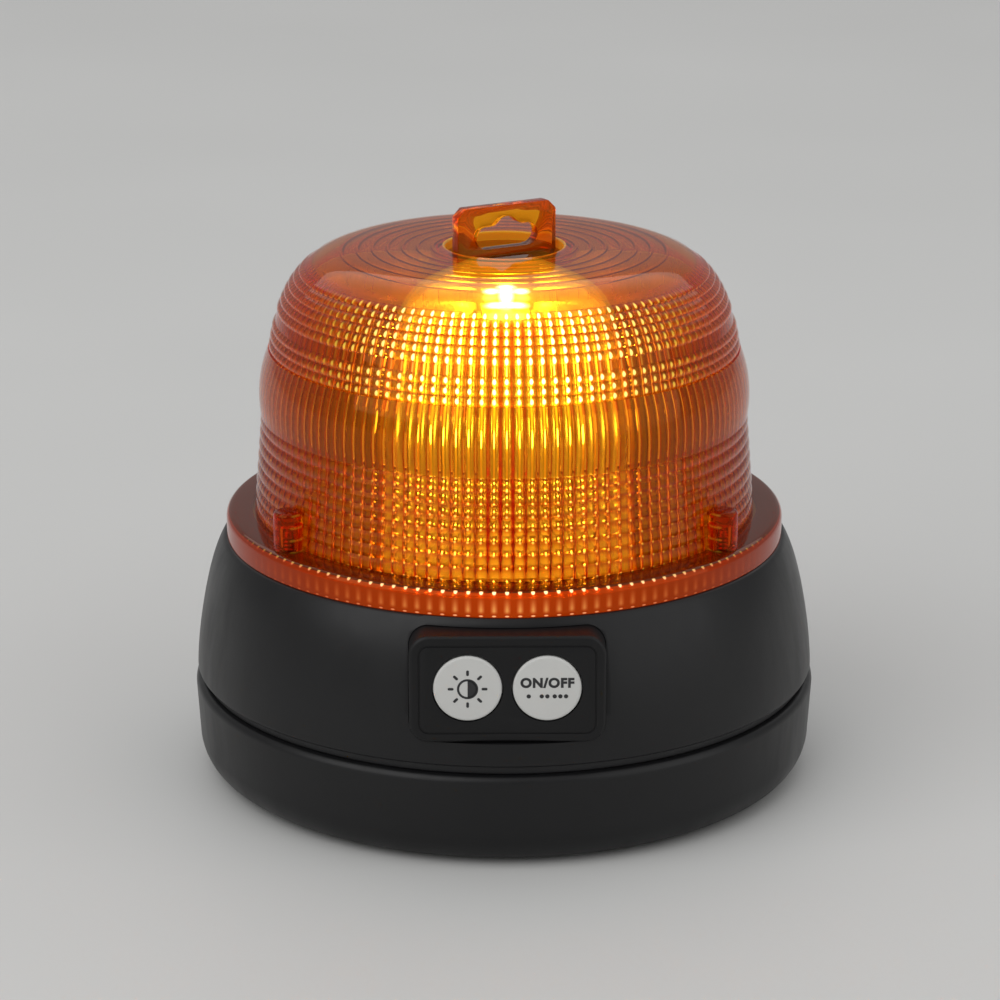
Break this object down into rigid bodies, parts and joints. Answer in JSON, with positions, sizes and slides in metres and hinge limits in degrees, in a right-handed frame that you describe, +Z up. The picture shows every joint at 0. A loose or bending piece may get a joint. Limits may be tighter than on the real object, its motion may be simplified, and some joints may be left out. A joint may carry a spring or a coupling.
{
  "type": "magnetic led warning beacon",
  "caption": "Battery-powered amber warning beacon: black round housing with magnetic base, two push buttons, ribbed amber lens and a hang tab.",
  "frame": {"origin": "centre of the footprint on the table, under the foot ring", "axes": "+Z up along the lens axis; the push buttons face -Y, the charging port faces +Y"},
  "size_m": [0.1494, 0.1494, 0.1365],
  "materials": {
    "housing": "fine satin moulded black ABS",
    "foot_rubber": "matt black rubber",
    "magnet": "nickel-plated magnet",
    "screw_steel": "zinc-plated steel",
    "seal_rubber": "soft black seal rubber",
    "panel": "fine-grained black ABS",
    "button_white": "matt white plastic with dark printed symbols",
    "plunger_red": "red switch plunger",
    "chip_black": "black moulded epoxy",
    "board_green": "green solder mask",
    "holder_black": "black moulded plastic",
    "cell_wrap": "blue shrink-wrapped cell",
    "contact_brass": "nickel-brass contact",
    "capacitor_sleeve": "dark blue capacitor sleeve",
    "connector_white": "off-white nylon connector",
    "wire_red": "red wire insulation",
    "wire_grey": "grey wire insulation",
    "socket_steel": "formed steel socket shell",
    "plug_rubber": "soft black silicone rubber",
    "plate_white": "white reflective plate",
    "tower_aluminium": "extruded aluminium",
    "strip_white": "white solder mask on aluminium board",
    "light_chip": "amber light-emitting chip",
    "reflector_mirror": "vacuum-metallised plastic",
    "lens_amber": "clear amber polycarbonate, ribbed and fluted",
    "tab_amber": "clear amber polycarbonate"
  },
  "bodies": {
    "housing": {"lower_housing": "housing", "foot_ring": "foot_rubber", "magnets": "magnet", "magnet_screws": "screw_steel", "base_screws": "screw_steel", "housing_seal": "seal_rubber", "upper_housing": "housing", "control_panel": "panel", "switches": "chip_black", "switch_board": "board_green", "switch_board_screws": "screw_steel", "battery_holder": "holder_black", "holder_screws": "screw_steel", "battery_cells": "cell_wrap", "battery_contacts": "contact_brass", "control_board": "board_green", "control_board_screws": "screw_steel", "board_chips": "chip_black", "board_coil": "chip_black", "board_capacitors": "capacitor_sleeve", "wire_connectors": "connector_white", "battery_leads": "wire_red", "switch_harness": "wire_grey", "charge_harness": "wire_grey", "light_harness": "wire_grey", "charge_socket": "socket_steel", "socket_board": "board_green", "socket_board_screws": "screw_steel", "port_strap": "plug_rubber", "light_plate": "plate_white", "light_tower": "tower_aluminium", "tower_screws": "screw_steel", "light_strips": "strip_white", "light_chips": "light_chip", "reflector": "reflector_mirror", "lens_gasket": "seal_rubber", "lens_screws": "screw_steel", "lens": "lens_amber", "hang_tab": "tab_amber"},
    "button_left": {"button_left": "button_white", "plunger_left": "plunger_red"},
    "button_right": {"button_right": "button_white", "plunger_right": "plunger_red"},
    "port_plug": {"port_plug": "plug_rubber"}
  },
  "joints": [
    {"name": "left_button_press", "type": "slide", "parent": "housing", "child": "button_left", "axis": [0, 1, 0], "range_m": [0, 0.0008], "stiffness_N_per_m": 1200, "springref_m": -0.0005},
    {"name": "right_button_press", "type": "slide", "parent": "housing", "child": "button_right", "axis": [0, 1, 0], "range_m": [0, 0.0008], "stiffness_N_per_m": 1200, "springref_m": -0.0005},
    {"name": "port_plug_swing", "type": "hinge", "parent": "housing", "child": "port_plug", "pos_m": [0, 0.0707, 0.03665], "axis": [-1, 0, 0], "range_deg": [0, 100]}
  ]
}
